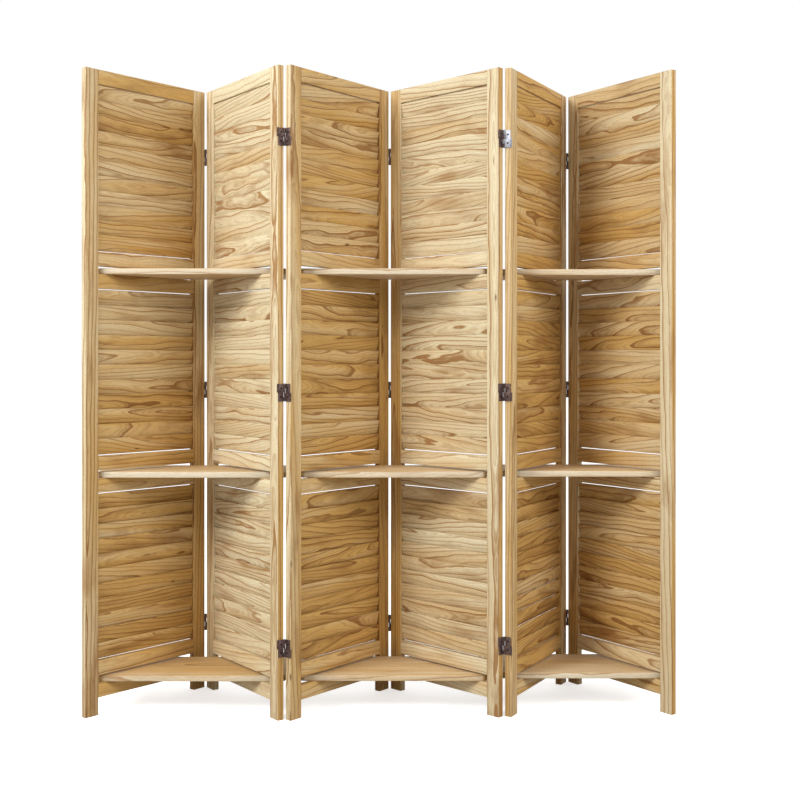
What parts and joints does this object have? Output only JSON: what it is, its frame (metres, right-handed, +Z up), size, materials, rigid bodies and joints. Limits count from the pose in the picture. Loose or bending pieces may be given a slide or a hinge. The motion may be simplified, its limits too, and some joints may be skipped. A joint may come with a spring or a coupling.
{
  "type": "folding screen with shelves",
  "caption": "Zigzag folding screen of louvred wood panels on double-action hinges, with loose shelf boards laid through slots across each open bay.",
  "frame": {"origin": "on the floor under the middle of the standing screen's outline", "axes": "+Z up, +X to the right along the screen as seen from its front, front towards -Y, where the bays with the boards open"},
  "size_m": [1.5705, 0.4036, 1.7],
  "materials": {
    "wood_stile": "matte",
    "wood_rail": "matte",
    "wood_louver": "matte",
    "wood_shelf": "matte",
    "hinge_metal": "satin"
  },
  "bodies": {
    "panel_1": {"panel_1_stile_left": "wood_stile", "panel_1_stile_right": "wood_stile", "panel_1_rails": "wood_rail", "panel_1_louvers": "wood_louver", "panel_1_hinge_leaves": "hinge_metal", "panel_1_hinge_links": "hinge_metal", "panel_1_hinge_pins": "hinge_metal"},
    "panel_2": {"panel_2_stile_left": "wood_stile", "panel_2_stile_right": "wood_stile", "panel_2_rails": "wood_rail", "panel_2_louvers": "wood_louver", "panel_2_hinge_leaves": "hinge_metal", "panel_2_hinge_links": "hinge_metal", "panel_2_hinge_pins": "hinge_metal"},
    "panel_3": {"panel_3_stile_left": "wood_stile", "panel_3_stile_right": "wood_stile", "panel_3_rails": "wood_rail", "panel_3_louvers": "wood_louver", "panel_3_hinge_leaves": "hinge_metal", "panel_3_hinge_links": "hinge_metal", "panel_3_hinge_pins": "hinge_metal"},
    "panel_4": {"panel_4_stile_left": "wood_stile", "panel_4_stile_right": "wood_stile", "panel_4_rails": "wood_rail", "panel_4_louvers": "wood_louver", "panel_4_hinge_leaves": "hinge_metal", "panel_4_hinge_links": "hinge_metal", "panel_4_hinge_pins": "hinge_metal"},
    "panel_5": {"panel_5_stile_left": "wood_stile", "panel_5_stile_right": "wood_stile", "panel_5_rails": "wood_rail", "panel_5_louvers": "wood_louver", "panel_5_hinge_leaves": "hinge_metal", "panel_5_hinge_links": "hinge_metal", "panel_5_hinge_pins": "hinge_metal"},
    "panel_6": {"panel_6_stile_left": "wood_stile", "panel_6_stile_right": "wood_stile", "panel_6_rails": "wood_rail", "panel_6_louvers": "wood_louver", "panel_6_hinge_leaves": "hinge_metal", "panel_6_hinge_links": "hinge_metal"},
    "board_1_lower": {"shelf_1_lower": "wood_shelf"},
    "board_1_middle": {"shelf_1_middle": "wood_shelf"},
    "board_1_upper": {"shelf_1_upper": "wood_shelf"},
    "board_2_lower": {"shelf_2_lower": "wood_shelf"},
    "board_2_middle": {"shelf_2_middle": "wood_shelf"},
    "board_2_upper": {"shelf_2_upper": "wood_shelf"},
    "board_3_lower": {"shelf_3_lower": "wood_shelf"},
    "board_3_middle": {"shelf_3_middle": "wood_shelf"},
    "board_3_upper": {"shelf_3_upper": "wood_shelf"}
  },
  "joints": [
    {"name": "fold_2_3", "type": "hinge", "parent": "panel_3", "child": "panel_2", "pos_m": [-0.24728, -0.18628, 0.85], "axis": [0, 0, 1], "range_deg": [0, 105]},
    {"name": "fold_1_2", "type": "hinge", "parent": "panel_2", "child": "panel_1", "pos_m": [-0.50232, 0.12903, 0.85], "axis": [0, 0, 1], "range_deg": [-103, 75]},
    {"name": "fold_3_4", "type": "hinge", "parent": "panel_3", "child": "panel_4", "pos_m": [0.02392, 0.11525, 0.85], "axis": [0, 0, 1], "range_deg": [0, 96]},
    {"name": "fold_4_5", "type": "hinge", "parent": "panel_4", "child": "panel_5", "pos_m": [0.32515, -0.15628, 0.85], "axis": [0, 0, 1], "range_deg": [-106, 0]},
    {"name": "fold_5_6", "type": "hinge", "parent": "panel_5", "child": "panel_6", "pos_m": [0.53986, 0.18776, 0.85], "axis": [0, 0, 1], "range_deg": [-61, 0]},
    {"name": "slide_1_lower", "type": "slide", "parent": "panel_2", "child": "board_1_lower", "axis": [-1, 0, 0], "range_m": [0, 0.52]},
    {"name": "slide_1_middle", "type": "slide", "parent": "panel_2", "child": "board_1_middle", "axis": [-1, 0, 0], "range_m": [0, 0.52]},
    {"name": "slide_1_upper", "type": "slide", "parent": "panel_2", "child": "board_1_upper", "axis": [-1, 0, 0], "range_m": [0, 0.52]},
    {"name": "slide_2_lower", "type": "slide", "parent": "panel_3", "child": "board_2_lower", "axis": [-1, 0, 0], "range_m": [0, 0.035]},
    {"name": "slide_2_middle", "type": "slide", "parent": "panel_3", "child": "board_2_middle", "axis": [-1, 0, 0], "range_m": [0, 0.035]},
    {"name": "slide_2_upper", "type": "slide", "parent": "panel_3", "child": "board_2_upper", "axis": [-1, 0, 0], "range_m": [0, 0.035]},
    {"name": "slide_3_lower", "type": "slide", "parent": "panel_5", "child": "board_3_lower", "axis": [1, 0, 0], "range_m": [0, 0.52]},
    {"name": "slide_3_middle", "type": "slide", "parent": "panel_5", "child": "board_3_middle", "axis": [1, 0, 0], "range_m": [0, 0.52]},
    {"name": "slide_3_upper", "type": "slide", "parent": "panel_5", "child": "board_3_upper", "axis": [1, 0, 0], "range_m": [0, 0.52]}
  ]
}
